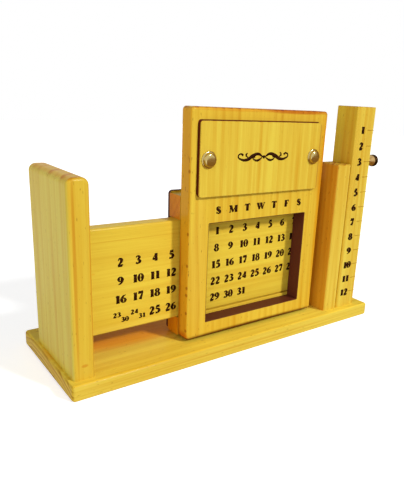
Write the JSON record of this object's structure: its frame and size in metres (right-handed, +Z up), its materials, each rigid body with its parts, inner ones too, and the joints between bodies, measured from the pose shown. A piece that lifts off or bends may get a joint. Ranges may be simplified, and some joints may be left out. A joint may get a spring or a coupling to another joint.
{
  "type": "perpetual desk calendar",
  "caption": "Wooden perpetual desk calendar: a windowed weekday slider runs along a board of dates, beside a tall month column marked by a metal peg.",
  "frame": {"origin": "centre of the base board's underside", "axes": "+X along the base towards the month column, +Y from the front to the back, +Z up"},
  "size_m": [0.3, 0.105, 0.1992],
  "materials": {
    "base_wood": "clear satin varnish",
    "upright_wood": "clear satin varnish",
    "board_wood": "clear satin varnish",
    "slider_wood": "clear satin varnish, window walls scorched brown by the cut",
    "plate_wood": "clear satin varnish, edges scorched brown by the cut",
    "dowel_wood": "plain",
    "bright_metal": "polished",
    "screw_steel": "zinc plated"
  },
  "bodies": {
    "stand": {"base_board": "base_wood", "left_upright": "upright_wood", "right_post": "upright_wood", "month_column": "upright_wood", "date_board": "board_wood", "upright_dowel_front": "dowel_wood", "upright_dowel_back": "dowel_wood", "post_dowel": "dowel_wood", "column_dowel": "dowel_wood", "board_dowel_lower": "dowel_wood", "board_dowel_upper": "dowel_wood"},
    "slider": {"slider_frame": "slider_wood", "slider_top_spacer": "slider_wood", "slider_bottom_spacer": "slider_wood", "slider_back_plate": "slider_wood", "name_plate": "plate_wood", "plate_screw_left": "screw_steel", "plate_screw_right": "screw_steel", "plate_cap_left": "bright_metal", "plate_cap_right": "bright_metal"},
    "peg": {"month_peg": "bright_metal"}
  },
  "joints": [
    {"name": "slider_travel", "type": "slide", "parent": "stand", "child": "slider", "axis": [1, 0, 0], "range_m": [-0.0797, 0.0087]},
    {"name": "peg_pull", "type": "slide", "parent": "stand", "child": "peg", "axis": [1, 0, 0], "range_m": [0, 0.0125]}
  ]
}
